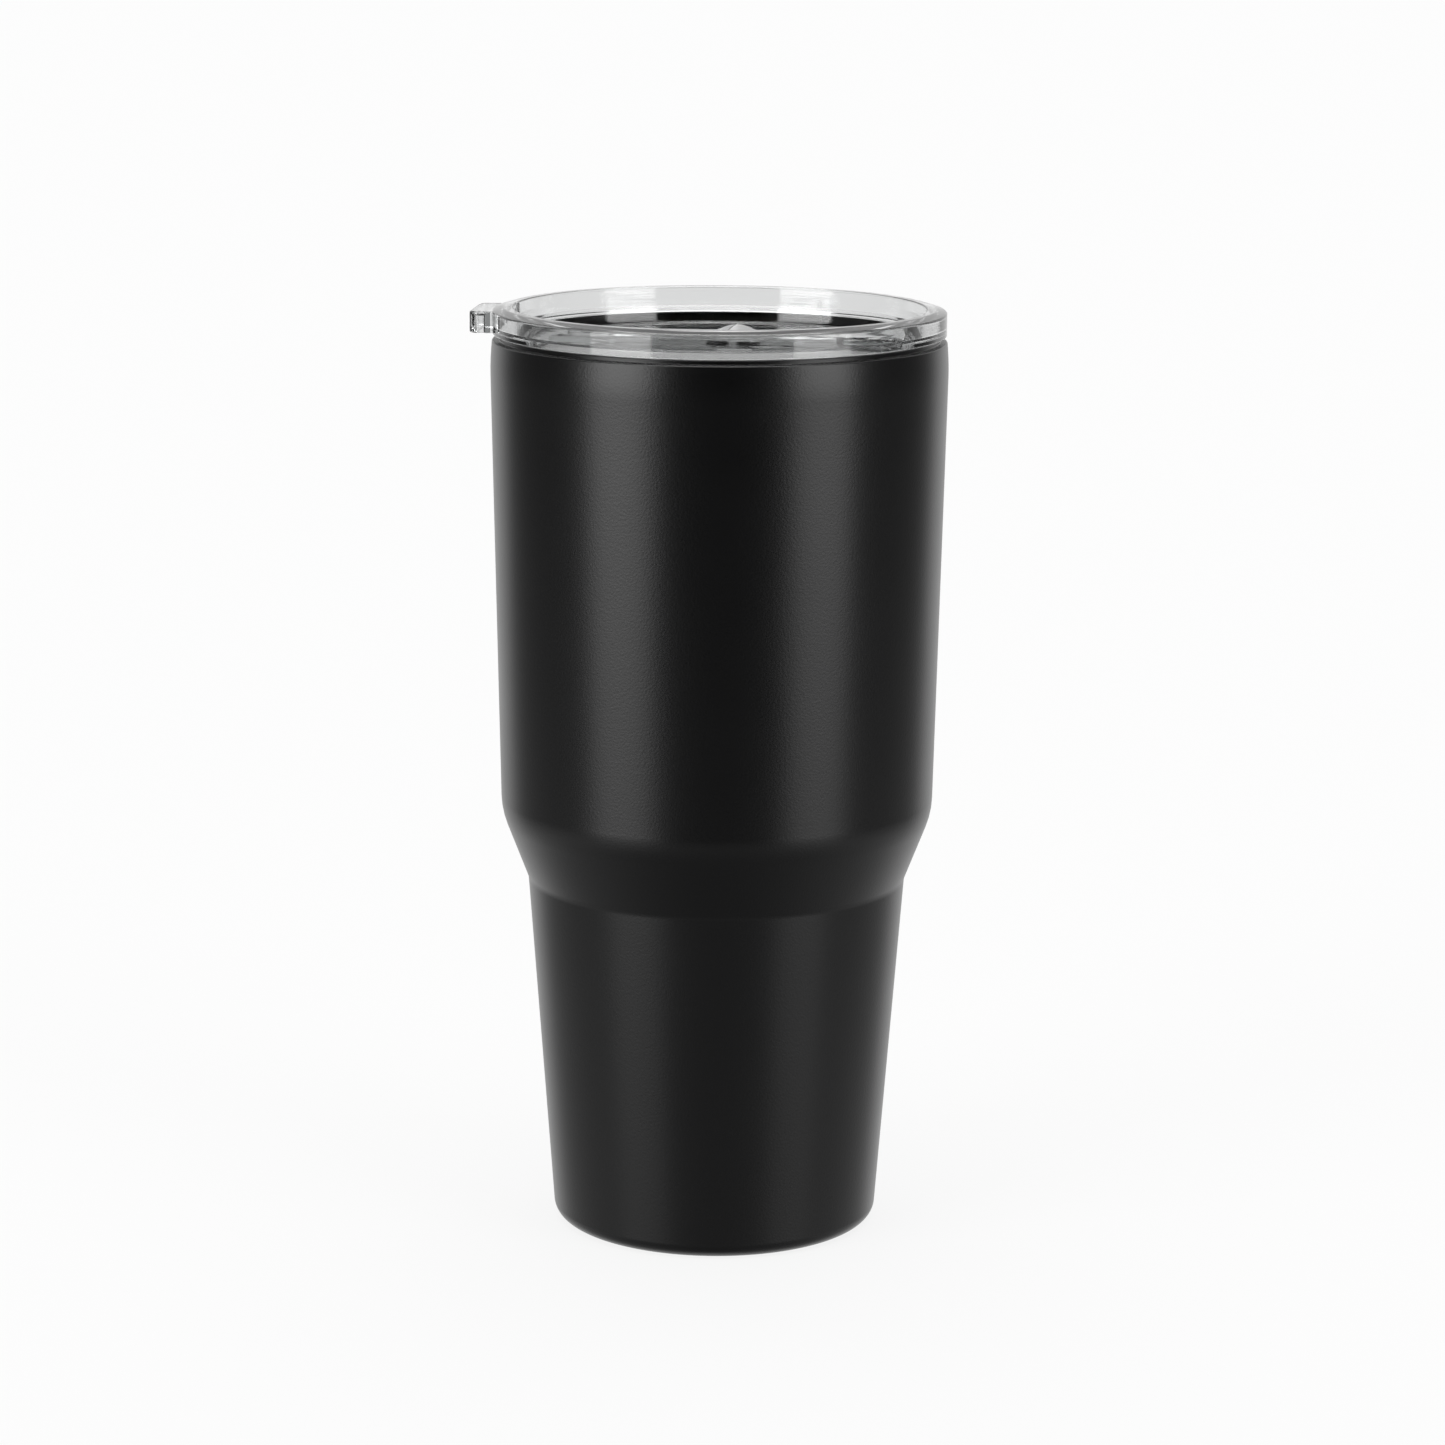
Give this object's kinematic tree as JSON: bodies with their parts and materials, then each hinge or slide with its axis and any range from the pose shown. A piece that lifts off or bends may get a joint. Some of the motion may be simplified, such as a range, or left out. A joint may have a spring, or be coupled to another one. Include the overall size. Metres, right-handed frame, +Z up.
{
  "type": "insulated travel tumbler",
  "caption": "Double-walled steel travel tumbler with a stepped, powder-coated body and a clear press-in lid with a pull tab and a sliding closure over the sip hole.",
  "frame": {"origin": "centre of the base's flat underside, on the axis of the cup, where the tumbler rests", "axes": "+Z up along the cup's axis, -X towards the lid's pull tab, +X towards the sip hole"},
  "size_m": [0.1048, 0.1008, 0.2068],
  "materials": {
    "powder_coat": "fine-grained satin powder coat",
    "steel": "brushed",
    "glass_solder": "glossy",
    "getter_powder": "sintered, matte",
    "copper_foil": "bright foil",
    "clear_plastic": "polished, transparent",
    "silicone": "satin, translucent"
  },
  "bodies": {
    "cup": {"outer_shell": "powder_coat", "outer_base": "steel", "base_cap": "steel", "vacuum_seal_bead": "glass_solder", "getter_cup": "steel", "getter_pill": "getter_powder", "liner_wall": "steel", "liner_base": "steel", "copper_wrap": "copper_foil"},
    "lid": {"lid_body": "clear_plastic", "lid_gasket": "silicone"},
    "slider": {"slider_plate": "clear_plastic", "slider_seal": "silicone", "slider_clip": "clear_plastic"}
  },
  "joints": [
    {"name": "lid_lift", "type": "slide", "parent": "cup", "child": "lid", "axis": [0, 0, 1], "range_m": [0, 0.05]},
    {"name": "slider_slide", "type": "slide", "parent": "lid", "child": "slider", "axis": [-1, 0, 0], "range_m": [0, 0.016]}
  ]
}
